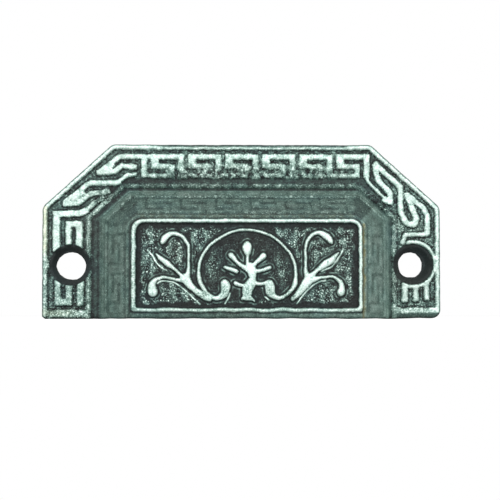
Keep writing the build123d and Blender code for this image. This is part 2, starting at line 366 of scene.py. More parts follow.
def left_corner_key():
    return from_corner([
        (1.3, [(left_corner_run + 2.4, key_inset - 0.05), (19.6, key_inset), (14.3, 7.3)]),
        (1.6, [(18.0, 4.9), (15.0, 7.0)]),
        (1.3, [(13.8, 7.2), (18.1, 7.1), (20.1, 5.5), (24.1, 5.8)]),
        (1.0, [(24.0, 7.6), (21.5, 7.9), (19.0, 9.8)]),
        (1.3, [(20.0, 9.4), (18.6, 9.85), (11.9, 9.9), (9.5, 11.9), (5.6, 15.0)]),
        (1.5, [(10.5, 12.0), (7.4, 14.4)]),
        (1.3, [(5.2, 15.2), (8.7, 15.1), (10.5, 14.1), (12.5, 12.5), (15.6, 12.3), (17.2, 11.9)]),
        (1.1, [(15.6, 13.6), (13.2, 15.0), (11.2, 16.9)]),
        (1.6, [(11.7, 16.6), (9.9, 17.6), (3.3, 17.9)]),
        (1.85, [(3.6, 17.1), (3.6, 27.5)]),
        (1.45, [(6.7, 27.5), (6.7, 20.4), (9.4, 20.4)]),
        (1.75, [(9.4, 19.7), (9.4, 27.5)]),
        (1.5, [(4.0, 34.7), (4.0, 40.4), (6.85, 40.4), (6.85, 34.7)]),
        (1.65, [(9.75, 34.7), (9.75, 41.2)]),
    ], 1)


def right_corner_key():
    return from_corner([
        (0.75, [(right_corner_run, 8.0), (18.4, 9.5), (14.2, 13.7)]),
        (1.5, [(14.6, 13.7), (12.8, 14.7)]),
        (1.4, [(12.8, 15.4), (12.7, 12.5), (15.9, 9.0), (16.4, 6.8), (16.4, 4.3)]),
        (1.35, [(16.9, 4.6), (10.1, 10.9), (10.1, 17.3), (8.7, 19.7)]),
        (1.45, [
            (9.2, 18.9), (8.8, 19.9), (8.2, 20.3), (6.7, 20.4), (6.2, 19.9), (6.1, 18.8),
            (7.5, 15.5), (8.5, 12.2),
        ]),
        (1.35, [(8.7, 12.5), (4.3, 16.2), (3.2, 18.2), (3.2, 23.2)]),
        (1.05, [(3.0, 22.9), (8.9, 23.1), (9.8, 25.4)]),
        (1.5, [(9.1, 35.2), (9.1, 40.3)]),
        (1.35, [(6.3, 35.2), (6.2, 40.1)]),
        (1.2, [(3.45, 34.7), (3.45, 39.8)]),
    ], -1)


def key_unit(upright):
    """One unit of the running key: its upright, then right, back and up to the top row."""
    top, middle, bottom = (flange_top - key_inset - row * key_row_pitch for row in range(3))
    inner, link = upright + key_pitch * key_inner_share, upright + key_pitch * key_link_share
    return [
        (1.5, [(upright, top + 0.6), (upright, bottom - 0.45)]),
        (1.05, [(upright, bottom), (link + 0.6, bottom)]),
        (1.25, [(link, bottom), (link, middle + 0.5)]),
        (1.25, [(link, middle), (inner, middle)]),
        (2.05, [(inner, middle - 0.6), (inner, top)]),
        (1.4, [(inner - 1.0, top), (upright + key_pitch, top)]),
    ]


def top_key():
    """The units of the running key, closed by one more upright."""
    bands = []
    for unit in range(key_units):
        bands += key_unit(key_start + unit * key_pitch)
    return bands + key_unit(key_start + key_units * key_pitch)[:1]


key_bands = top_key() + left_corner_key() + right_corner_key()


def key_distance(x, z):
    uneven = 0.07 * waves(x, z, 2.2, 21) + 0.05 * waves(x, z, 0.9, 22)
    return bands_distance(x, z, key_bands) + uneven * (1 + 0.45 * key_wear(x, z))


def bead_line(below=1.0):
    left, right = flange_left + bead_inset_side, flange_right - bead_inset_side
    top = flange_top - bead_inset_top
    return cut_cornered(left, right, flange_bottom - below, top, bead_cut_across, bead_cut_down)


def flange_bead_distance(x, z):
    line = bead_line()
    sides = [line_distance(x, z, start, end)[0] for start, end in zip(line, line[1:])]
    return np.minimum.reduce(sides) - bead_width / 2 + 0.05 * waves(x, z, 3.0, 23)


def rim_distance(x, z):
    """Distance from the rim's inner edge, negative on the rim."""
    side, foot = side_distance(x, z), foot_distance(x, z)
    over_bead = np.abs(x) < flange_right - bead_inset_side - 0.2
    foot_rim = np.where(over_bead, foot + 9.0, foot) - np.where(x < 0, foot_rim_left, foot_rim_right)
    foot_rim += 0.16 * waves(x, 0 * z, 3.6, 25)
    near_hole = ease(-sink_distance(x, z), -countersink_radius - 1.0, -countersink_radius + 0.6)
    widened = rim_width + 0.9 * near_hole
    return np.minimum(side - widened, foot_rim) + 0.06 * waves(x, z, 1.8, 24)


def left_hole(x, z):
    return np.hypot(x + hole_reach, z)


def right_hole(x, z):
    return np.hypot(x - hole_reach - right_sink_shift[0], z - right_sink_shift[1])


def sink_distance(x, z):
    """Distance from the middle of the nearer countersink."""
    return np.minimum(left_hole(x, z), right_hole(x, z))


def hole_ring(x, z):
    """Distance outside the raised ring round the right countersink, worn away on the hood's side."""
    across, up = x - hole_reach - right_sink_shift[0], z - right_sink_shift[1]
    width = hole_ring_width + 0.25 * ease(np.abs(up), 2.0, 4.5) + 0.06 * waves(x, z, 1.3, 26)
    ring = np.abs(right_hole(x, z) - countersink_radius - width / 2) - width / 2
    return ring + 1.5 * ease(-across - 1.0 * (up < 0), 1.4, 3.0)


def left_bore(x, z):
    """Distance outside the left bore, which broke out with a flat at its lower left."""
    across, up = x + hole_reach - 0.08, z + 0.3
    flat = np.maximum((-across - up) / math.sqrt(2) - 3.35, -0.85 - 0.25 * across - up - 2.35)
    reach = np.hypot(across * 0.965, up * 1.01)
    return reach - left_bore_radius + np.maximum(flat, 0) * 1.2 + 0.04 * waves(x, z, 2.5, 32)


def right_bore(x, z):
    across, up = x - hole_reach + 0.3, z - 0.1
    notch = 0.24 * blob(across - 3.0, up - 0.1, 0.5, 0.7)
    return np.hypot(across, up * 0.98) - right_bore_radius + notch + 0.07 * waves(x, z, 2.5, 31)


def flange_features(x, z):
    """Distances outside the flange's raised features: key, rim, bead and ring."""
    return key_distance(x, z), rim_distance(x, z), flange_bead_distance(x, z), hole_ring(x, z)


# Hood

def corner_share(across, down, inset=0.0):
    """Share of the way up the hood at which its cut corner, moved in by an inset, passes through a point.
    Across and down are measured in from the corner of the foot."""
    cut_down_change = panel_round - hood_cut_down
    cut_across_change = panel_round - hood_cut_across
    fall = -down + hood_cut_down
    squared = -side_lean * cut_down_change - (top_lean + cut_down_change) * cut_across_change
    slope = across * cut_down_change - side_lean * hood_cut_down
    slope -= fall * cut_across_change + (top_lean + cut_down_change) * hood_cut_across
    level = across * hood_cut_down - fall * hood_cut_across
    share = np.full(across.shape, 9.0)
    for _ in range(3):
        at = np.clip(share, 0, 1)
        cut_across = hood_cut_across + at * cut_across_change
        cut_down = hood_cut_down + at * cut_down_change
        along = (across - at * side_lean) * cut_across + (fall + at * (top_lean + cut_down_change)) * cut_down
        along = np.clip(along / (cut_across**2 + cut_down**2), 0, 1)
        bulge = at**2 * corner_bulge * 4 * along * (1 - along) - inset
        bulge *= np.hypot(cut_across, cut_down) * (share < 3)
        inside = slope**2 - 4 * squared * (level + bulge)
        found = 2 * (level + bulge) / (-slope + np.sqrt(np.maximum(inside, 0)))
        share = np.where(inside > 0, found, 9.0)
    return share


def hood_shares(x, z, inset=0.0):
    """How far up the left, right and top walls and the left and right facets a point lies, a row each,
    with all of them moved in by an inset."""
    left, right, down = x - foot_left, foot_right - x, foot_top - z
    return np.stack([
        (left - inset) / side_lean,
        (right - inset) / side_lean,
        (down - inset) / top_lean,
        corner_share(left, down, inset),
        corner_share(right, down, inset),
    ])


def hood_share(x, z, inset=0.0, blend=0.035):
    """How far up the hood a point lies: 0 at the foot of its walls, 1 at the panel's level."""
    shares = hood_shares(x, z, inset)
    least = shares[0]
    for other in shares[1:]:
        least = smooth_least(least, other, blend)
    return least


def panel_distance(x, z):
    """Distance inside the outline of the panel's bead, which runs on downwards."""
    side = np.minimum(x - panel_left, panel_right + bead_overhang - x)
    return rounded_corner(side, panel_top + bead_overhang - z, panel_bead_round)


def panel_bead(x, z):
    """Distance inside the outer edge of the panel's bead."""
    above = z - bead_foot + 0.1 * waves(x, z, 9.0, 41)
    broader = 1 - 0.18 * (1 - ease(x - panel_left, 1.8, 3.2))
    bead = smooth_least((panel_distance(x, z) - 0.12) * broader, above, 0.9)
    return bead + 0.035 * waves(x, z, 3.0, 42) + 0.03 * waves(x, z, 1.1, 43)


# Scrollwork: across is measured from the panel's middle and up from the bottom edge

def scroll_branches():
    """Strokes of the scrollwork: a crest height, then (across, up, half width) along the stroke."""
    return [
        # Left upper volute
        (0.95, [
            (-20.5, 18.7, 0.4), (-20.3, 19.1, 0.65), (-19.8, 19.9, 0.7), (-19.0, 20.5, 0.6),
            (-18.0, 20.9, 0.45), (-16.7, 20.7, 0.4), (-15.6, 20.1, 0.35), (-14.8, 19.1, 0.35),
            (-14.2, 18.0, 0.3), (-14.1, 16.7, 0.25), (-14.1, 14.5, 0.25), (-14.1, 12.9, 0.3),
            (-14.2, 11.5, 0.4), (-14.5, 10.5, 0.65),
        ]),
        # Right upper volute
        (0.95, [
            (20.7, 18.7, 0.35), (20.4, 19.2, 0.6), (19.9, 19.9, 0.75), (19.1, 20.5, 0.7),
            (18.2, 21.0, 0.55), (17.3, 21.1, 0.45), (16.2, 20.7, 0.4), (15.4, 20.0, 0.35),
            (14.8, 19.0, 0.35), (14.5, 17.9, 0.3), (14.3, 16.8, 0.25), (14.4, 15.6, 0.3),
            (14.4, 12.9, 0.3), (14.4, 11.8, 0.4), (14.8, 10.7, 0.65),
        ]),
        # Left leaf
        (0.9, [
            (-22.0, 15.9, 0.1), (-21.5, 15.4, 0.3), (-20.8, 14.7, 0.5), (-20.0, 14.1, 0.6),
            (-19.2, 13.5, 0.65), (-18.4, 12.9, 0.45), (-17.6, 12.3, 0.35), (-16.7, 11.4, 0.3),
            (-16.0, 10.7, 0.35), (-15.5, 10.2, 0.55),
        ]),
        # Right leaf
        (0.9, [
            (22.5, 16.2, 0.1), (21.8, 15.5, 0.4), (20.8, 14.5, 0.7), (19.5, 13.6, 0.8),
            (18.3, 12.8, 0.6), (17.5, 12.2, 0.45), (16.8, 11.5, 0.45), (16.1, 10.8, 0.65),
        ]),
        # Left lower volute
        (0.95, [
            (-22.8, 6.7, 1.15), (-23.0, 8.1, 0.85), (-22.7, 8.9, 0.65), (-22.1, 9.6, 0.45),
            (-21.3, 9.9, 0.35), (-20.4, 10.2, 0.3), (-19.3, 10.1, 0.25), (-18.0, 9.9, 0.25),
            (-17.1, 9.6, 0.3), (-16.1, 9.5, 0.45), (-15.2, 9.6, 0.7),
        ]),
        # Right lower volute
        (0.95, [
            (23.0, 6.5, 0.85), (23.2, 7.2, 0.75), (23.2, 8.1, 0.6), (22.9, 9.0, 0.5), (22.2, 9.7, 0.4),
            (21.4, 10.2, 0.3), (20.2, 10.4, 0.25), (18.0, 10.1, 0.3), (17.1, 9.9, 0.5),
            (16.1, 9.7, 0.75),
        ]),
        # Left stem
        (0.9, [
            (-15.0, 10.2, 0.85), (-14.5, 9.4, 1.0), (-13.7, 8.2, 0.8), (-12.6, 7.2, 0.65),
            (-11.4, 6.3, 0.75), (-10.1, 5.5, 0.75), (-9.0, 5.0, 0.6),
        ]),
        # Right stem
        (0.9, [
            (15.6, 10.1, 1.15), (14.7, 9.0, 1.1), (13.9, 7.9, 0.9), (13.1, 6.9, 0.75), (12.3, 5.9, 0.6),
            (11.2, 4.9, 0.45),
        ]),
        # Arch
        (0.85, [
            (-5.4, 8.8, 0.8), (-5.1, 8.1, 1.1), (-5.2, 7.1, 1.0), (-5.5, 6.1, 0.9), (-6.4, 5.4, 0.65),
            (-7.5, 5.1, 0.45), (-8.5, 5.5, 0.4), (-9.5, 6.3, 0.4), (-11.0, 8.4, 0.45),
            (-11.6, 10.4, 0.4), (-11.6, 11.6, 0.3), (-11.4, 13.8, 0.3), (-10.3, 16.3, 0.3),
            (-8.4, 18.5, 0.3), (-5.8, 20.2, 0.25), (-4.0, 21.1, 0.25), (-2.3, 21.6, 0.25),
            (-0.3, 21.8, 0.25), (1.5, 21.7, 0.25), (3.2, 21.3, 0.25), (5.9, 20.4, 0.25),
            (8.3, 18.6, 0.25), (10.3, 16.5, 0.25), (11.6, 14.0, 0.3), (12.0, 11.6, 0.3),
            (12.0, 10.4, 0.35), (11.9, 9.1, 0.5), (11.6, 8.1, 0.5), (10.9, 7.1, 0.4), (9.9, 6.1, 0.4),
            (8.8, 5.4, 0.4), (7.9, 5.2, 0.45), (7.0, 5.4, 0.55), (6.2, 6.0, 0.8), (5.8, 6.7, 1.05),
            (5.7, 7.7, 1.15), (5.6, 8.5, 1.05),
        ]),
        # Bud and its neck
        (0.95, [
            (0.2, 18.7, 0.3), (0.2, 18.1, 0.8), (0.1, 17.5, 1.05), (0.2, 16.8, 0.9), (0.3, 16.2, 0.7),
            (0.3, 15.9, 0.45),
        ]),
        (0.8, [(0.2, 15.6, 0.35), (0.2, 14.4, 0.3), (0.3, 13.4, 0.4), (0.4, 12.7, 0.7)]),
        # Petals
        (0.85, [
            (-3.8, 15.6, 0.6), (-3.1, 14.9, 0.5), (-2.3, 13.9, 0.35), (-0.7, 12.7, 0.5),
            (0.3, 12.2, 0.6),
        ]),
        (0.85, [
            (4.1, 15.4, 0.7), (3.2, 14.6, 0.55), (2.4, 13.9, 0.45), (1.8, 13.2, 0.5), (1.2, 12.5, 0.75),
        ]),
        (0.8, [(-5.3, 12.7, 0.3), (-3.8, 12.2, 0.4), (-2.8, 11.8, 0.45), (-2.4, 11.6, 0.4)]),
        (0.8, [
            (5.7, 12.6, 0.35), (4.5, 12.2, 0.4), (3.6, 11.9, 0.35), (2.7, 11.7, 0.4), (1.9, 11.7, 0.55),
        ]),
        # Arms from the trunk to the volutes
        (0.8, [(-2.7, 8.8, 0.45), (-2.0, 8.5, 0.4), (-1.0, 8.2, 0.35), (-0.1, 8.0, 0.55)]),
        (0.8, [
            (1.6, 8.9, 0.55), (2.4, 8.7, 0.4), (3.3, 8.6, 0.35), (4.2, 8.7, 0.35), (5.0, 8.8, 0.6),
        ]),
        # Trunk and its foot
        (0.95, [
            (0.9, 12.6, 1.2), (1.2, 11.9, 1.1), (1.4, 11.1, 0.95), (1.5, 10.1, 0.75), (1.4, 9.4, 0.9),
            (1.0, 8.6, 1.2), (0.5, 7.8, 1.25), (0.2, 6.9, 1.2), (0.1, 6.1, 1.1),
        ]),
        (0.9, [(-0.9, 5.0, 0.35), (0.2, 5.3, 0.75), (1.3, 5.0, 0.4), (2.0, 4.4, 0.1)]),
    ]


def scroll_lines():
    """Thin raised lines beside the stems and leaves, (across, up) along each."""
    return [
        [
            (-21.7, 8.7), (-21.2, 9.1), (-20.6, 9.3), (-19.2, 9.2), (-17.7, 9.0), (-16.4, 8.1),
            (-15.5, 7.5), (-13.3, 5.5), (-11.4, 3.6),
        ],
        [(19.3, 9.5), (17.9, 9.2), (16.7, 8.5), (15.4, 7.6), (13.7, 5.8), (12.3, 3.8)],
        [(-4.0, 6.3), (-4.5, 5.1), (-5.2, 3.8)],
        [(4.5, 5.5), (5.4, 4.7)],
        [
            (18.2, 11.7), (19.1, 12.1), (20.1, 12.4), (20.9, 12.9), (21.6, 13.9), (22.2, 14.5),
            (23.5, 16.7),
        ],
        [(-24.2, 16.9), (-23.0, 15.6), (-22.3, 14.3), (-21.2, 13.0), (-20.2, 12.2), (-19.5, 12.0)],
    ]


def curve_through(points, steps=3):
    """Points of a smooth curve through the given ones (Catmull-Rom)."""
    ends = [points[0]] + list(points) + [points[-1]]
    line = [points[0]]
    for a, b, c, d in zip(ends, ends[1:], ends[2:], ends[3:]):
        for step in range(1, steps + 1):
            t = step / steps
            weights = (
                (-t + 2 * t**2 - t**3) / 2,
                (2 - 5 * t**2 + 3 * t**3) / 2,
                (t + 4 * t**2 - 3 * t**3) / 2,
                (t**3 - t**2) / 2,
            )
            line.append(tuple(sum(w * p[axis] for w, p in zip(weights, (a, b, c, d))) for axis in range(3)))
    return line


def stroke_distance(across, up, points, reach):
    """Which points lie near a curved stroke, how far outside its edge they are, and its half width there."""
    line = curve_through(points)
    xs, zs, halves = zip(*line)
    reach += max(halves)
    close = (across > min(xs) - reach) & (across < max(xs) + reach)
    close &= (up > min(zs) - reach) & (up < max(zs) + reach)
    ax, az = across[close], up[close]
    edge, half = np.full(ax.shape, np.inf), np.ones(ax.shape)
    for start, end in zip(line, line[1:]):
        distance, share = line_distance(ax, az, start[:2], end[:2])
        width = start[2] + (end[2] - start[2]) * share
        half = np.where(distance - width < edge, width, half)
        edge = np.minimum(edge, distance - width)
    return close, edge, half


def domed(share):
    """Height of a rounded crest at a share of its half width."""
    return np.sqrt(np.maximum(1 - np.clip(share, 0, 1) ** 2.6, 0))


def scroll_relief(x, z):
    """Height of the scrollwork above the field, distance outside its crests, and nearness to a thin line."""
    across, up = x - panel_middle, z - flange_bottom
    across = across + 0.035 * waves(x, z, 2.6, 51) + 0.015 * waves(x, z, 0.8, 53)
    up = up + 0.035 * waves(x, z, 2.6, 52) + 0.015 * waves(x, z, 0.8, 54)
    height = np.zeros_like(x)
    nearest = np.full(x.shape, 3.0)
    for crest, points in scroll_branches():
        close, edge, half = stroke_distance(across, up, points, 2.4)
        flank = 1 - ease(edge, -0.15, 0.34)
        form = crest * (0.75 * flank + 0.25 * domed(edge / half + 1))
        height[close] = np.maximum(height[close], form)
        nearest[close] = np.minimum(nearest[close], edge)
    line = np.zeros_like(x)
    for points in scroll_lines():
        close, distance, _ = stroke_distance(across, up, [(*point, 0.0) for point in points], 1.0)
        line[close] = np.maximum(line[close], hump(distance, thin_line_width))
    return height, nearest, line


# Faint key on the walls

def wall_edges(x, z):
    """Distance outside the ribs of the faint key and the lines above and below it, on each wall's own
    slope. The two facets have the lines alone."""
    shares = hood_shares(x, z)
    left, right, top = shares[:3]
    which = shares.argmin(0)
    side_slope, top_slope = math.hypot(side_lean, rise), math.hypot(top_lean, rise)
    side_end = wall_key_side_start + wall_key_side_run
    runs = [
        (z - flange_bottom, -left * side_slope, wall_key_side_start, side_end, wall_key_side_units),
        (flange_bottom - z, -right * side_slope, -side_end, -wall_key_side_start, wall_key_side_units),
        (x - panel_middle, -top * top_slope, -wall_key_reach, wall_key_reach, key_units),
    ]
    nearest = np.full(x.shape, 2.0)
    for index, (along, down, start, end, units) in enumerate(runs):
        bands = [(wall_key_rib, meander(start, end, units, -wall_key_first_row, -wall_key_row_pitch))]
        for inset, width in ((foot_line_inset, foot_line_width), (upper_line_inset, upper_line_width)):
            bands.append((width, [(start - 2, -inset), (end + 2, -inset)]))
        here = which == index
        nearest[here] = bands_distance(along[here], down[here], bands)
    on_facet = which >= len(runs)
    up_slope = shares.min(0)[on_facet] * side_slope
    from_line = np.minimum(np.abs(up_slope - foot_line_inset), np.abs(up_slope - upper_line_inset))
    nearest[on_facet] = from_line - upper_line_width / 2
    return nearest + 0.07 * waves(x * 2, z * 2, 2.5, 61)


def wall_normal(x, z):
    """Outward direction of the wall or facet that a point lies on."""
    leans = np.array([(-1.0, 0.0), (1.0, 0.0), (0.0, 1.0), (-0.68, 0.73), (0.68, 0.73)])
    slope = math.hypot(side_lean, rise)
    across, up = leans[hood_shares(x, z).argmin(0)].T * (rise / slope)
    return np.stack([across, np.full(x.shape, -side_lean / slope), up], 1)


# Front skin

def edge_drop(distance, bend):
    """How far a rounded edge has fallen at a distance in from the outline."""
    inset = np.clip(bend - distance, 0, bend)
    return bend - np.sqrt(np.maximum(bend**2 - inset**2, 0))


def top_bevel(x, z):
    """Share of the worn bevel along the outer half of the top rim, in its middle stretch."""
    along = ease(x, -25, -17) * (1 - ease(x, 26.4, 27.6)) * (z > flange_top - 1.6)
    return along * (1 - ease(side_distance(x, z), 0.62, 0.84))


def flange_relief(x, z):
    """Height of the flange's relief above its ground, and the distance outside the nearest rib."""
    key, rim, bead, ring = features = flange_features(x, z)
    worn = 1 - 0.1 * (0.5 + 0.5 * waves(x, z, 5.0, 71)) - 0.06 * grain(x, z, 0.7, 72)
    worn -= 0.35 * key_wear(x, z) * grain(x, z, 1.1, 75)
    key_height = relief_height * worn * (1 - ease(key, -0.14, 0.3))
    silted = relief_height * 0.55 * key_silt(x, z) * (1 - ease(key, 0.4, 0.8))
    rim_height = relief_height * (1 - ease(rim, -0.15, 0.24)) * (1 - 0.45 * top_bevel(x, z))
    bead_form = bead_height * domed(np.clip(bead / (bead_width / 2) + 1, 0, 1)) * worn
    ring_height = relief_height * (1 - ease(ring, -0.1, 0.2))
    height = np.maximum.reduce([key_height, silted, rim_height, bead_form, ring_height])
    return height, np.minimum.reduce(features)


def countersunk(depth, reach, bore_radius):
    """Depth where a countersink's cone cuts below the casting's face."""
    slope = (countersink_radius - bore_radius) / (ground_depth + relief_height - bore_length)
    cone = bore_length + (reach - bore_radius) / slope
    return smooth_least(depth, np.maximum(cone, bore_length), 0.12)


def flange_depth(x, z, relief):
    """Depth of the flange's face, with its rounded edges and countersinks."""
    foot_bend = foot_edge_left + (foot_edge_right - foot_edge_left) * ease(x, 30, 36)
    drop = edge_drop(side_distance(x, z), edge_round)
    drop = np.maximum(drop, edge_drop(foot_distance(x, z), foot_bend))
    drop = np.maximum(drop, edge_drop(outline_distance(x, z), edge_round))
    rough = 0.02 * waves(x, z, 1.1, 81) + 0.03 * (grain(x, z, 0.45, 82) - 0.5)
    depth = ground_depth + relief + rough - drop
    depth = countersunk(depth, left_hole(x, z), left_bore_radius)
    return countersunk(depth, right_hole(x, z), right_bore_radius)


def panel_field(x, z, scroll, edge, skirt, line):
    """Depth of the panel's sunk field with its pits, its scrollwork and the thin lines beside it."""
    pits = 0.08 * (grain(x, z, 0.5, 83) - 0.5) + 0.08 * (grain(x, z, 0.28, 84) - 0.5)
    field = field_depth + pits * ease(edge, 0.2, 0.8) + scroll
    return field + np.maximum(skirt_height * skirt, thin_line_height * line)


def scroll_skirt(x, z, edge):
    """Share of the low ripple round the scrollwork, which is faint along the arch."""
    from_arch = np.abs(np.hypot(x - panel_middle - 0.2, z - flange_bottom - 10) - 11.8)
    return hump(edge - 0.66, 0.15) * (0.25 + 0.75 * ease(from_arch, 0.8, 1.8))


def bead_bump(bead):
    """Depth of the panel's bead at a distance inside its outer edge, nothing away from it."""
    from_crest = np.abs(bead - bead_crest_inset) / bead_half_width
    depth = projection - panel_bead_height + panel_bead_height * domed(from_crest) - 0.02
    return np.where(from_crest < 1, depth, 0)


def hood_depth(x, z, share, bead, field):
    """Depth of the hood's walls, shoulder and panel, with its rounded lower lip."""
    foot = foot_distance(x, z)
    slope = ground_depth + share * rise - edge_drop(foot, 0.3) * rise / side_lean
    walls = smooth_least(slope, shoulder_depth, 0.25)
    panel = smooth_most(mixed(walls, field, ease(bead, 0.9, 1.14)), bead_bump(bead), 0.1)
    face = np.minimum(np.where(share > 0.8, panel, walls), projection - 0.005)
    return face - edge_drop(foot, lip_round) * ease(share, 0.7, 1.0)


def wall_raise(x, z, share, edge):
    """How far the faint key, waviness and grain raise a wall, along its own normal."""
    raised = wall_relief * (1 - ease(edge, -0.25, 0.35)) - wall_relief * 0.5
    raised += 0.05 * waves(x, z, 1.5, 85) + 0.03 * (grain(x, z, 0.4, 86) - 0.5)
    return raised * ease(share, 0.02, 0.06) * (1 - ease(share, 0.93, 0.97))


def front_surface(x, z):
    """Points of the front skin in space, with what its colouring needs."""
    share, bead, wall_edge = hood_share(x, z), panel_bead(x, z), wall_edges(x, z)
    relief, edge = flange_relief(x, z)
    scroll, scroll_edge, line = scroll_relief(x, z)
    skirt = scroll_skirt(x, z, scroll_edge)
    flange = flange_depth(x, z, relief)
    hood = hood_depth(x, z, share, bead, panel_field(x, z, scroll, scroll_edge, skirt, line))
    depth = np.where(share > 0, smooth_most(hood, flange, 0.3), flange)
    raised = wall_raise(x, z, share, wall_edge)
    points = np.stack([x, -depth, z], 1) + wall_normal(x, z) * raised[:, None]
    facts = dict(share=share, edge=edge, bead=bead, scroll_edge=scroll_edge, wall_edge=wall_edge)
    return points, dict(facts, depth=depth, skirt=skirt, line=line)


def relief_edges(x, z):
    """The one field whose edges the mesh follows: flange ribs, panel bead and scrolls, or wall ribs."""
    share = hood_share(x, z)
    found = np.minimum.reduce(flange_features(x, z))
    on_panel, on_wall = share >= 1, (share > 0) & (share < 1)
    if on_panel.any():
        px, pz = x[on_panel], z[on_panel]
        inner = bead_inner_edge - panel_bead(px, pz)
        found[on_panel] = np.where(np.abs(inner) < 0.5, inner, scroll_relief(px, pz)[1])
    if on_wall.any():
        found[on_wall] = wall_edges(x[on_wall], z[on_wall])
    return found


# Grid, clipping and joining

def spaced(stops, gaps):
    """Grid lines through each stop, evenly spaced between stops at about each gap."""
    lines = [np.array(stops[:1])]
    for start, end, gap in zip(stops, stops[1:], gaps):
        count = max(1, round((end - start) / gap))
        lines.append(np.linspace(start, end, count + 1)[1:])
    return np.concatenate(lines)


def slope_of(field, x, z, step=0.01):
    across = (field(x + step, z) - field(x - step, z)) / (2 * step)
    up = (field(x, z + step) - field(x, z - step)) / (2 * step)
    return across, up


def pull_onto(x, z, field, levels, reach):
    """Moves the points that lie near one of a field's levels onto it."""
    value = field(x, z)
    across, up = slope_of(field, x, z)
    levels = np.array(levels)
    wanted = levels[np.abs(value[:, None] - levels).argmin(1)]
    share = (wanted - value) / (across**2 + up**2 + 1e-9)
    move_across, move_up = share * across, share * up
    near = np.hypot(move_across, move_up) < reach
    return x + np.where(near, move_across, 0), z + np.where(near, move_up, 0)


def cut_cells(cells, x, z, value):
    """Triangles of the parts of cells where the value isn't negative, with the points that they add."""
    xs, zs, crossings, triangles = list(x), list(z), {}, []

    def crossing(a, b):
        key = (min(a, b), max(a, b))
        if key not in crossings:
            t = value[a] / (value[a] - value[b])
            crossings[key] = len(xs)
            xs.append(x[a] + (x[b] - x[a]) * t)
            zs.append(z[a] + (z[b] - z[a]) * t)
        return crossings[key]

    for cell in cells:
        outline = []
        for a, b in zip(cell, np.roll(cell, -1)):
            if value[a] >= 0:
                outline.append(int(a))
            if (value[a] > 0 > value[b]) or (value[a] < 0 < value[b]):
                outline.append(crossing(int(a), int(b)))
        triangles += [(outline[0], b, c) for b, c in zip(outline[1:], outline[2:])]
    return np.array(xs), np.array(zs), np.array(triangles, int).reshape(-1, 3)


def clipped_grid(across_lines, up_lines, keep, follow, levels, reach):
    """Whole cells and cut triangles of a grid whose points follow a field's levels, where keep isn't
    negative."""
    x, z = (v.ravel() for v in np.meshgrid(across_lines, up_lines))
    x, z = pull_onto(x, z, follow, levels, reach)
    value = keep(x, z)
    near = np.abs(value) < 0.6 * reach
    across, up = slope_of(keep, x[near], z[near])
    share = value[near] / (across**2 + up**2)
    x[near] -= share * across
    z[near] -= share * up
    value[near] = 0.0
    columns, rows = len(across_lines), len(up_lines)
    start = (np.arange(rows - 1)[:, None] * columns + np.arange(columns - 1)).ravel()
    cells = np.stack([start, start + 1, start + columns + 1, start + columns], 1)
    cells = cells[(value[cells] > 0).any(1)]
    whole = (value[cells] >= 0).all(1)
    x, z, slivers = cut_cells(cells[~whole], x, z, value)
    return x, z, cells[whole], slivers


def split_cells(cells, height):
    """Two triangles a cell, cut along the diagonal that changes height the less."""
    a, b, c, d = cells.T
    along = np.abs(height[a] - height[c]) <= np.abs(height[b] - height[d])
    first, second = (a, b, np.where(along, c, d)), (np.where(along, a, b), c, d)
    return np.concatenate([np.stack(first, 1), np.stack(second, 1)])


def compacted(points, triangles, values):
    """The same triangles without the points that none of them uses."""
    used, renumbered = np.unique(triangles, return_inverse=True)
    return points[used], renumbered.reshape(triangles.shape), values[used]


def open_loops(triangles):
    """The loops of edges that only one triangle uses, each in the triangles' own direction."""
    edges = np.concatenate([triangles[:, [0, 1]], triangles[:, [1, 2]], triangles[:, [2, 0]]])
    count = int(triangles.max()) + 1
    codes = edges[:, 0] * count + edges[:, 1]
    single = edges[~np.isin(codes, edges[:, 1] * count + edges[:, 0])]
    onward = {int(a): int(b) for a, b in single}
    loops = []
    while onward:
        start, current = onward.popitem()
        loop = [start]
        while current != start:
            loop.append(current)
            current = onward.pop(current)
        loops.append(loop)
    return sorted(loops, key=len, reverse=True)


def turned_about(points, loop, centre):
    """The loop taken the way that its angle about a centre grows, from its smallest angle on and back
    to its first point, and those angles."""
    angle = np.arctan2(points[loop, 2] - centre[1], points[loop, 0] - centre[0])
    if np.unwrap(angle)[-1] < angle[0]:
        loop, angle = loop[::-1], angle[::-1]
    first = angle.argmin()
    loop, angle = np.roll(loop, -first), np.unwrap(np.roll(angle, -first))
    return np.append(loop, loop[0]), np.append(angle, angle[0] + 2 * math.pi)


def zipped(points, front_loop, back_loop, centre, outward):
    """Triangles between two loops round one centre, facing away from it or towards it."""
    front, front_angle = turned_about(points, front_loop, centre)
    back, back_angle = turned_about(points, back_loop, centre)
    triangles, i, j = [], 0, 0
    while i + 1 < len(front) or j + 1 < len(back):
        ends = (front[i], back[j])
        if j + 1 == len(back) or (i + 1 < len(front) and front_angle[i + 1] <= back_angle[j + 1]):
            i += 1
            triangles.append((*ends, front[i]))
        else:
            j += 1
            triangles.append((*ends, back[j]))
    triangles = np.array(triangles)
    corners = points[triangles]
    normal = np.cross(corners[:, 1] - corners[:, 0], corners[:, 2] - corners[:, 0])
    away = corners.mean(1) - (centre[0], 0, centre[1])
    facing = (normal * away)[:, [0, 2]].sum()
    return triangles if (facing > 0) == outward else triangles[:, ::-1]


# Back skin: the flat back face and the finger cavity behind the hood

def cavity_at(x, z):
    """Depth of the cavity's walls at a point in plan, negative on the flat back face."""
    return ground_depth + hood_share(x, z, wall, 0.08) * rise


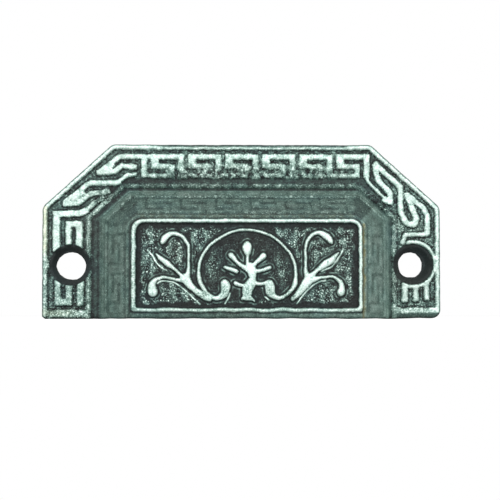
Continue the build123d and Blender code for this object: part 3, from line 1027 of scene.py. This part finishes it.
def back_surface(x, z):
    slope = cavity_at(x, z)
    depth = smooth_most(smooth_least(slope, cavity_depth, 1.6), 0.0, 0.5)
    depth = np.maximum(depth - 0.125, 0)
    rough = 0.05 * waves(x, z, 2.4, 91) + 0.04 * (grain(x, z, 0.9, 92) - 0.5)
    depth += rough * ease(slope, 0.3, 1.5)
    return np.stack([x, -depth, z], 1), slope


def solid_distance(x, z, inset=0.0):
    """Distance inside the flange's outline, moved in by an inset, and outside both bores."""
    return np.minimum.reduce([outline_distance(x, z) - inset, left_bore(x, z), right_bore(x, z)])


# Colouring: tone runs from 0, a black recess, to 1, a crest rubbed bright, and fleck is how mottled it is; in
# places tone also carries painted light and shade

def mottling(x, z):
    return 0.5 * waves(x, z, 2.4, 101) + grain(x, z, 0.5, 102) - 0.5


def underside_shade(x, z):
    """Share of the strip where the bottom edge rounds under and faces down, which gets painted shade."""
    left = x < 0
    return 1 - ease(foot_distance(x, z), np.where(left, 0.45, 1.25), np.where(left, 0.75, 1.6))


def rim_tone(x, z, mottle):
    """The rim, with a dark bevel along the middle of its top (worn, and painted shade where it faces upward),
    a dull foot with painted shade where the bottom edge rounds under, and a thin grey edge of painted shade
    where the outline rounds.
    """
    side, foot = side_distance(x, z), foot_distance(x, z)
    low_left = ease(-x, 44, 46) * ease(-z, -4, 1)
    tone = 0.94 + 0.08 * mottle - 0.2 * low_left
    tone = np.where((foot < 2.9) & (side > 1.2), np.where(x < 0, 0.66, 0.78) + 0.16 * mottle, tone)
    # Painted shade: the worn top bevel is darkened where it faces upward, and so is the strip where the
    # bottom edge rounds under.
    tone = mixed(mixed(tone, 0.46, top_bevel(x, z)), 0.36, underside_shade(x, z))
    # Painted shade: a thin darker edge where the outline rounds away.
    return tone * (1 - 0.4 * (1 - ease(side, 0.1, 0.32)))


def flange_bead_tone(x, z, mottle):
    tone = 0.41 + 0.18 * mottle + 0.2 * ease(np.abs(x), 33, 37)
    return tone + 0.18 * blob(x + 36.5, z - 14, 4, 4.5) - 0.42 * blob(x - 34.6, z - 14.4, 3.4, 3.4)


def key_tone(x, z, mottle, low_key):
    """The key's crests, dulled where they are worn and below the left screw hole."""
    dulled = key_wear(x, z) * (0.18 + 0.36 * ease(waves(x, z, 1.8, 74), -0.6, 0.9))
    dulled *= np.where(z > 20, 0.6 + 0.75 * ease(24.6 - z, 0, 0.8), 1)
    return 0.9 + 0.07 * mottle - dulled - 0.2 * low_key


def flange_ground_tone(x, z, mottle, edge, below_key):
    """The slots between the ribs: darkest beside a rib and under the key, and pale where they have silted."""
    tone = 0.37 + 0.1 * mottle + 0.07 * ease(x, 35, 40)
    tone *= 1 - 0.72 * hump(edge - 0.3, 0.22)
    tone = mixed(tone, 0.1 + 0.09 * ease(x, -18, -10), 0.75 * below_key)
    return mixed(tone, 0.6 + 0.2 * mottle, key_silt(x, z))


def flange_fleck(x, z, edge, crest, low_key, below_key, on_rim, on_bead):
    """How mottled the flange is: most along its bead, and least in the strip under the key."""
    wear, reach = key_wear(x, z), np.abs(x)
    fleck = 0.42 + 0.3 * hump(edge, 0.22) - 0.1 * crest * (1 - wear) + 0.14 * wear
    fleck += 0.25 * low_key + 0.2 * (1 - crest) * ease(x, 36, 42)
    fleck += 0.22 * on_rim * (reach < 48) * (reach > 34)
    fleck = np.maximum(fleck - 0.25 * below_key, 0) + 0.25 * on_rim * ease(-z, -9, -5)
    bead_fleck = 0.6 + 0.28 * (reach > 37) + 0.25 * (x < -32) * (x > -37)
    fleck = np.maximum(fleck, bead_fleck * on_bead * crest)
    return fleck * (1 - 0.7 * underside_shade(x, z) * (x > 0))


def flange_tone(x, z, facts):
    """Tone and fleck of the flange, its dark countersinks and the gutter between its bead and the hood."""
    mottle = mottling(x, z)
    inside_bead = polygon_distance(x, z, bead_line(20.0))
    on_bead = (np.abs(inside_bead) < 0.75) & (key_distance(x, z) > 0.25)
    on_rim = rim_distance(x, z) < 0.16
    edge = np.where(on_bead, facts["edge"] - 0.14, facts["edge"])
    crest = 1 - ease(edge, -0.16, 0.14)
    low_key = ease(-z, 4.5, 5.5) * (x < 0)
    below_key = ease(22.5 - z, 0, 0.4) * (z > 19) * (np.abs(x) < 34)
    rubbed = np.where(on_rim, rim_tone(x, z, mottle), key_tone(x, z, mottle, low_key))
    rubbed = np.where(on_bead, flange_bead_tone(x, z, mottle), rubbed)
    tone = mixed(flange_ground_tone(x, z, mottle, edge, below_key), rubbed, crest)
    fleck = flange_fleck(x, z, edge, crest, low_key, below_key, on_rim, on_bead)
    gutter = ease(inside_bead, 0.4, 0.8)
    band = 0.14 + 0.05 * mottle + 0.13 * hump(inside_bead - 1.75, 0.36)
    band += 0.26 * hump(facts["share"] + 0.005, 0.035)
    in_sink = 1 - ease(sink_distance(x, z), countersink_radius - 0.12, countersink_radius + 0.1)
    tone = mixed(mixed(tone, band, gutter), 0.12, in_sink)
    return tone, mixed(fleck, 0.2, gutter) * (1 - 0.85 * in_sink)


def wall_tone(x, z, facts):
    """Tone and fleck of the walls, palest along their feet, with painted light on the right wall, painted
    shade on the top wall and painted shade beside the panel.
    """
    mottle, share = mottling(x, z), facts["share"]
    left, right, top = hood_shares(x, z)[:3]
    slot = ease(facts["wall_edge"], -0.05, 0.4)
    on_top = 1.0 * (top < np.minimum(left, right))
    tone = 0.49 + 0.07 * mottle - (0.11 + 0.03 * on_top) * slot
    # Painted light lifts the right wall and painted shade darkens the top wall, for how the lamps fall on
    # them.
    tone += 0.08 * (right <= np.minimum(left, top)) - 0.045 * on_top
    tone += (0.13 + 0.07 * on_top) * (1 - ease(share, 0.1, 0.16)) * slot
    foot_line = hump(share - 0.17, 0.03)
    sparkle = on_top * ease(waves(x, 0 * z, 2.0, 110), 0.8, 1.5)
    tone += foot_line * (0.02 + 0.06 * on_top + 0.6 * sparkle)
    # Painted shade: darker on the upper wall towards the panel, evening out how the wall catches the light.
    tone -= 0.07 * ease(share, 0.9, 0.97) + 0.02 * ease(share, 0.76, 0.84) * (1 - on_top)
    tone += 0.07 * hump(x - panel_right - 0.5, 0.5) * (right < top)
    tone += 0.05 * ease(flange_bottom + 2.4 - z, 0, 1.2)
    return tone, 0.28 + on_top * (0.14 + 0.3 * foot_line)


def field_light(x, z, clear):
    """Share of the panel's field that gets painted light, pale where the open ground would catch the light
    and dark near its relief as painted shade: clear of its relief, and little of it in the arch.
    """
    across, up = x - panel_middle, z - flange_bottom
    under_arch = (np.hypot(across - 0.2, (up - 10) * 0.98) < 11.4) & (up > 4.5)
    lit_patches = blob(across + 8.4, up - 13.1, 1.6, 3.2) + blob(across - 8.5, up - 12.6, 1.7, 4.4)
    return ease(clear, 0.7, 1.4) * np.where(under_arch, 0.2 + 0.8 * np.minimum(lit_patches, 1), 1)


def scroll_dullness(x, z):
    """Share of the dull patches on the scrollwork: at random, on the volutes and on the trunk."""
    aside, up = np.abs(x - panel_middle), z - flange_bottom
    dull = 0.5 * ease(waves(x, z, 2.0, 107), 0.5, 1.3)
    dull += blob(aside - 10.3, up - 5.8, 2.0, 1.2) + blob(x - panel_middle - 0.4, up - 6.9, 1.4, 2.0)
    return np.minimum(dull + blob(aside - 5.5, up - 6.8, 1.2, 1.6), 1)


def panel_tone(x, z, facts):
    """Tone and fleck of the panel: its field with painted light away from its relief, its scrollwork, its
    bead and the lip below them, with a painted shadow under the bead.
    """
    mottle, edge, bead = mottling(x, z), facts["scroll_edge"], facts["bead"]
    lit_ground = field_light(x, z, np.minimum(edge, bead - 1.35) + 0.35 * waves(x, z, 2.4, 105))
    broken = ease(waves(x, z, 2.2, 109), -1.1, 0.9)
    # Painted light: the field away from the relief is painted pale as if catching the light, and near the
    # relief it stays dark as painted shade.
    tone = 0.07 + lit_ground * (0.16 + 0.24 * ease(waves(x, z, 3.2, 106), -0.7, 0.9))
    tone += 0.58 * facts["skirt"] * broken * (1 - lit_ground)
    tone = np.maximum(tone, 1.4 * facts["line"] * (0.6 + 0.4 * broken))
    dull, crest = scroll_dullness(x, z), 1 - ease(edge, -0.1, 0.13)
    tone = mixed(tone, 0.97 + 0.07 * mottle - 0.27 * dull, crest)
    fleck = mixed(0.16 + 0.84 * lit_ground, 0.38 + 0.3 * dull, crest)
    bead_crest = 1 - ease(np.abs(bead - 0.5), 0.3, 0.52)
    worn_left = 1 - ease(x - panel_left, 1.2, 2.0)
    dull_bead = 0.1 * worn_left + 0.15 * ease(bead_foot + 1.3 - z, 0, 0.3)
    tone = mixed(tone, 0.95 + 0.08 * mottle - dull_bead, bead_crest)
    fleck = mixed(fleck, 0.4 + 0.25 * worn_left, bead_crest)
    below = ease(-bead, 0.0, 0.35)
    # The lip's dark line just below the bead is a painted shadow.
    lip = 0.38 + 0.08 * ease(x, -8, 8) + 0.07 * mottle - 0.18 * hump(bead + 0.26, 0.2)
    return mixed(tone, lip, below), mixed(fleck, 0.25, below)


def olive_stain(x, z):
    """Share of yellow-brown staining: beside and above the panel's bead, and on the left rim."""
    broken = ease(waves(x, z, 1.6, 121), -1.0, 0.6)
    stain = hump(x - panel_right - 0.45 - 0.12 * waves(x, z, 3.0, 122), 0.38) * (z < panel_top - 1)
    stain *= 0.7 + 0.6 * broken
    stain += 0.2 * hump(z - panel_top - 1, 0.6) * (np.abs(x - panel_middle) < 27) * broken
    stain += 0.7 * hump(x - flange_left - 0.7, 0.6) * ease(z, 1, 5) * (z < 15)
    stain += 0.24 * hump(z - flange_bottom - 1.6, 1.0) * ease(-x, 41, 46)
    return np.clip(stain, 0, 1)


def front_colours(x, z, facts):
    """Tone, fleck and olive staining of the front skin, a row for each point."""
    on_panel, on_hood = facts["share"] >= 0.97, ease(facts["share"], 0.0, 0.04)
    flange, walls, panel = (np.stack(found(x, z, facts)) for found in (flange_tone, wall_tone, panel_tone))
    tone, fleck = mixed(flange, np.where(on_panel, panel, walls), on_hood)
    return np.stack([np.clip(tone, 0.02, 1.1), np.clip(fleck, 0, 1), olive_stain(x, z)], 1)


def back_colours(x, z, slope):
    tone = 0.34 + 0.06 * waves(x, z, 5.0, 111) - 0.08 * ease(slope, 0, 6)
    olive = 0.25 + 0.2 * waves(x, z, 9.0, 112)
    return np.stack([tone, np.full(x.shape, 0.3), olive], 1)


# The whole casting: its two skins, the rounded rim and the strips that join them

def front_skin():
    """Points, triangles and colouring of the front, as far as its outer edge starts to round."""
    across = spaced(
        [flange_left + edge_round, foot_left, panel_left, panel_right, foot_right, flange_right - edge_round],
        [flange_gap, wall_gap, panel_gap, wall_gap, flange_gap],
    )
    up = spaced(
        [flange_bottom + edge_round, panel_top, foot_top, flange_top - edge_round],
        [panel_gap, wall_gap, flange_gap],
    )
    keep = partial(solid_distance, inset=edge_round)
    x, z, cells, slivers = clipped_grid(across, up, keep, relief_edges, flank_levels, flank_reach)
    points, facts = front_surface(x, z)
    triangles = np.concatenate([split_cells(cells, facts["depth"]), slivers])
    return compacted(points, triangles, front_colours(x, z, facts))


def rounded_rim(points, outer):
    """Rows of points that carry the front's outer loop round to the outline, with their colouring, the
    triangles between them and the last row's numbers."""
    x, z = points[outer, 0], points[outer, 2]
    across, up = slope_of(outline_distance, x, z)
    length = np.hypot(across, up)
    rows, colours, faces, last = [], [], [], np.array(outer)
    for distance in rim_row_distances:
        reach = edge_round - distance
        row_x = np.clip(x - across / length * reach, flange_left, flange_right)
        row_z = np.clip(z - up / length * reach, flange_bottom, flange_top)
        row, facts = front_surface(row_x, row_z)
        new = len(points) + len(rows) * len(outer) + np.arange(len(outer))
        last_on, new_on = np.roll(last, -1), np.roll(new, -1)
        faces += [np.stack([last_on, last, new], 1), np.stack([last_on, new, new_on], 1)]
        rows.append(row)
        # The rounded edge's rows are darkened by a factor: painted shade.
        colours.append(front_colours(row_x, row_z, facts) * (rounded_edge_shade, 1, 1))
        last = new
    return rows, colours, faces, last


def back_skin():
    """Points, triangles and colouring of the flat back face and the finger cavity."""
    across = spaced(
        [flange_left, foot_left + wall - mouth_side, foot_right - wall + mouth_side, flange_right],
        [back_gap] * 3,
    )
    up = spaced([flange_bottom, foot_top - wall + mouth_top, flange_top], [back_gap] * 2)
    levels = (0.0, cavity_depth)
    x, z, cells, slivers = clipped_grid(across, up, solid_distance, cavity_at, levels, 0.45 * back_gap)
    points, slope = back_surface(x, z)
    triangles = np.concatenate([split_cells(cells, points[:, 1]), slivers])
    return compacted(points, triangles, back_colours(x, z, slope))


def casting_arrays():
    """Points, triangles and colouring of the whole casting, and how many points its front skin has."""
    front, front_faces, front_values = front_skin()
    outer, *holes = open_loops(front_faces)[:3]
    rows, row_values, row_faces, rim = rounded_rim(front, outer)
    back, back_faces, back_values = back_skin()
    points = np.concatenate([front, *rows, back])
    before_back = len(points) - len(back)
    back_outer, *back_holes = (np.array(loop) + before_back for loop in open_loops(back_faces)[:3])
    faces = [front_faces, *row_faces, back_faces[:, ::-1] + before_back]
    faces.append(zipped(points, rim, back_outer, outline_centre, True))
    for hole in holes:
        side = math.copysign(1, points[hole[0], 0])
        for back_hole in back_holes:
            if points[back_hole[0], 0] * side > 0:
                faces.append(zipped(points, hole, back_hole, (side * hole_reach, 0.0), False))
    return points, np.concatenate(faces), np.concatenate([front_values, *row_values, back_values]), len(front)


def soften_front(mesh, front_count):
    """Takes the sharp marks off the front skin's edges, so that its worn relief shades smoothly."""
    ends = np.zeros(len(mesh.edges) * 2, int)
    mesh.edges.foreach_get("vertices", ends)
    in_front = (ends.reshape(-1, 2) < front_count).all(1)
    sharp = mesh.attributes.get("sharp_edge")
    if sharp:
        flags = np.zeros(len(mesh.edges), bool)
        sharp.data.foreach_get("value", flags)
        sharp.data.foreach_set("value", flags & ~in_front)


def place_object(name, data):
    placed = bpy.data.objects.new(name, data)
    bpy.context.scene.collection.objects.link(placed)
    return placed


def iron_casting():
    points, triangles, colouring, front_count = casting_arrays()
    mesh = bpy.data.meshes.new("iron_casting")
    mesh.from_pydata((points * MM).tolist(), [], triangles.tolist())
    mesh.update()
    for name, values in zip(("tone", "fleck", "olive"), colouring.T):
        attribute = mesh.attributes.new(name, "FLOAT", "POINT")
        attribute.data.foreach_set("value", values.astype(np.float32))
    mesh.shade_smooth()
    mesh.set_sharp_from_angle(angle=math.radians(50))
    soften_front(mesh, front_count)
    mesh.materials.append(patina_material())
    return place_object("iron_casting", mesh)


# Materials

def screen(red, green, blue):
    """A colour as it looks on screen, from 0 to 255, as linear light."""
    return tuple(((v / 255 + 0.055) / 1.055) ** 2.4 for v in (red, green, blue))


class Nodes:
    """Short calls for building a node tree."""

    def __init__(self, owner):
        owner.use_nodes = True
        self.tree = owner.node_tree
        self.tree.nodes.clear()

    def feed(self, socket, value):
        """Links a socket to another node's output, or gives it a constant."""
        if isinstance(value, bpy.types.NodeSocket):
            self.tree.links.new(value, socket)
        else:
            socket.default_value = value

    def add(self, kind, inputs=(), **settings):
        """A new node with its inputs, by name or by number, and its settings."""
        node = self.tree.nodes.new(kind)
        for name, value in settings.items():
            setattr(node, name, value)
        for name, value in dict(inputs).items():
            self.feed(node.inputs[name], value)
        return node

    def math(self, operation, *values, clamp=False):
        node = self.add("ShaderNodeMath", enumerate(values), operation=operation, use_clamp=clamp)
        return node.outputs[0]

    def noise(self, vector, size, roughness=0.5):
        """Noise whose features are about one size across, in millimetres."""
        inputs = {"Vector": vector, "Scale": 1 / (size * MM), "Detail": 2.0, "Roughness": roughness}
        return self.add("ShaderNodeTexNoise", inputs).outputs[0]

    def attribute(self, name):
        return self.add("ShaderNodeAttribute", attribute_name=name).outputs["Fac"]

    def ramp(self, factor, stops):
        """Colours as they look on screen, each with its place along the ramp."""
        node = self.add("ShaderNodeValToRGB", {"Fac": factor})
        elements = node.color_ramp.elements
        while len(elements) < len(stops):
            elements.new(0.5)
        for element, (position, colour) in zip(elements, stops):
            element.position = position
            element.color = (*screen(*colour), 1)
        return node.outputs["Color"]

    def mix(self, factor, first, second):
        inputs = {"Factor": factor, "A": first, "B": second}
        return self.add("ShaderNodeMix", inputs, data_type="RGBA").outputs["Result"]


def patina_colour(n, shade, coarse, wide):
    """Green-grey patina by its shade, with olive stains and wide brownish and bluish patches."""
    colour = n.ramp(shade, [
        (0.0, (20, 22, 22)),
        (0.16, (44, 51, 51)),
        (0.34, (72, 94, 88)),
        (0.5, (107, 133, 124)),
        (0.72, (161, 191, 180)),
        (1.0, (226, 243, 236)),
    ])
    olive = n.ramp(shade, [(0.0, (34, 28, 18)), (0.45, (132, 126, 76)), (1.0, (222, 224, 184))])
    stained = n.math("MULTIPLY", n.attribute("olive"), n.math("ADD", coarse, 0.4), clamp=True)
    colour = n.mix(stained, colour, olive)
    earthy = n.ramp(shade, [(0.0, (34, 28, 26)), (0.35, (78, 90, 84)), (1.0, (220, 236, 226))])
    brown = n.math("MULTIPLY_ADD", wide, 2.2, -0.95, clamp=True)
    colour = n.mix(n.math("MULTIPLY", brown, 0.6), colour, earthy)
    cool = n.ramp(shade, [(0.0, (22, 27, 31)), (0.5, (98, 128, 130)), (1.0, (220, 242, 238))])
    blue = n.math("MULTIPLY_ADD", wide, -2.6, 1.25, clamp=True)
    return n.mix(n.math("MULTIPLY", blue, 0.5), colour, cool)


def patina_material():
    """Dark green-grey patina, nearly black in the recesses and rubbed pale on the crests."""
    material = bpy.data.materials.new("patina")
    n = Nodes(material)
    place = n.add("ShaderNodeTexCoord").outputs["Object"]
    fine, coarse, wide = n.noise(place, 0.38, 0.6), n.noise(place, 1.5), n.noise(place, 7.0)
    bright = n.math("MAXIMUM", n.math("SUBTRACT", fine, 0.58), 0.0)
    speck = n.math("ADD", n.math("MULTIPLY_ADD", fine, 1.8, -0.94), n.math("MULTIPLY", bright, 3.5))
    patchy = n.math("ADD", speck, n.math("MULTIPLY_ADD", coarse, 0.7, -0.35))
    uneven = n.math("MULTIPLY", patchy, n.attribute("fleck"))
    shade = n.math("ADD", n.attribute("tone"), uneven, clamp=True)
    bump = n.add("ShaderNodeBump", {"Strength": 0.35, "Distance": 0.07 * MM, "Height": fine})
    shader = n.add("ShaderNodeBsdfPrincipled", {
        "Base Color": patina_colour(n, shade, coarse, wide),
        "Roughness": n.math("MULTIPLY_ADD", shade, -0.2, 0.66),
        "Metallic": n.math("MULTIPLY", shade, 0.35),
        "Specular IOR Level": 0.2,
        "Normal": bump.outputs[0],
    })
    n.add("ShaderNodeOutputMaterial", {"Surface": shader.outputs[0]})
    return material


def floor_material():
    """Plain pale floor that the camera sees as near white, with the object's shadow kept."""
    material = bpy.data.materials.new("pale_floor")
    n = Nodes(material)
    seen = n.add("ShaderNodeLightPath").outputs["Is Camera Ray"]
    shader = n.add("ShaderNodeBsdfDiffuse", {"Color": (0.9, 0.9, 0.9, 1)})
    glow = n.add("ShaderNodeEmission", {"Strength": n.math("MULTIPLY", seen, 0.68)})
    both = n.add("ShaderNodeAddShader", enumerate((shader.outputs[0], glow.outputs[0])))
    n.add("ShaderNodeOutputMaterial", {"Surface": both.outputs[0]})
    return material


# Stage

def make_floor(reach):
    mesh = bpy.data.meshes.new("floor")
    corners = [(-reach, -reach, 0), (reach, -reach, 0), (reach, reach, 0), (-reach, reach, 0)]
    mesh.from_pydata(corners, [], [(0, 1, 2, 3)])
    mesh.materials.append(floor_material())
    floor = place_object("floor", mesh)
    floor.location.z = flange_bottom * MM


def make_world(daylight):
    """White surroundings for the camera, gloss and glass, which light the object at a lower level."""
    world = bpy.data.worlds.new("studio")
    bpy.context.scene.world = world
    n = Nodes(world)
    path = n.add("ShaderNodeLightPath").outputs
    seen = n.math("ADD", path["Is Camera Ray"], path["Is Glossy Ray"])
    seen = n.math("ADD", seen, path["Is Transmission Ray"], clamp=True)
    strength = n.math("MULTIPLY_ADD", seen, 1 - daylight, daylight)
    background = n.add("ShaderNodeBackground", {"Strength": strength, "Color": (1, 1, 1, 1)})
    n.add("ShaderNodeOutputWorld", {"Surface": background.outputs[0]})


def aim(placed, place, target, unit=1.0):
    """Puts a lamp or the camera at a place and turns it to look at a target."""
    place, target = Vector(place), Vector(target)
    placed.location = place * unit
    placed.rotation_euler = (target - place).to_track_quat("-Z", "Y").to_euler()


def area_light(name, place, size, power):
    data = bpy.data.lights.new(name, "AREA")
    data.shape = "DISK"
    data.size = size
    data.energy = power
    aim(place_object(name, data), place, (0, 0, 0.008))


def make_camera():
    """The photo looks almost straight at the front, from about 400 mm away and level with the foot."""
    data = bpy.data.cameras.new("camera")
    data.sensor_width = 36.0
    data.lens = 113.0
    camera = place_object("camera", data)
    aim(camera, (-5.5, -403.25, -12.75), (2.2, 0, 3.98), unit=MM)
    bpy.context.scene.camera = camera


make_camera()
make_world(daylight=0.32)
make_floor(reach=3.0)
area_light("key", (0.06, -0.52, 0.24), size=0.3, power=1.85)
area_light("fill", (-0.3, -0.45, 0.1), size=0.35, power=0.7)
bpy.context.scene.view_settings.view_transform = "Standard"

casting = iron_casting()
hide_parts("pull_casting")
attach(casting, "root")
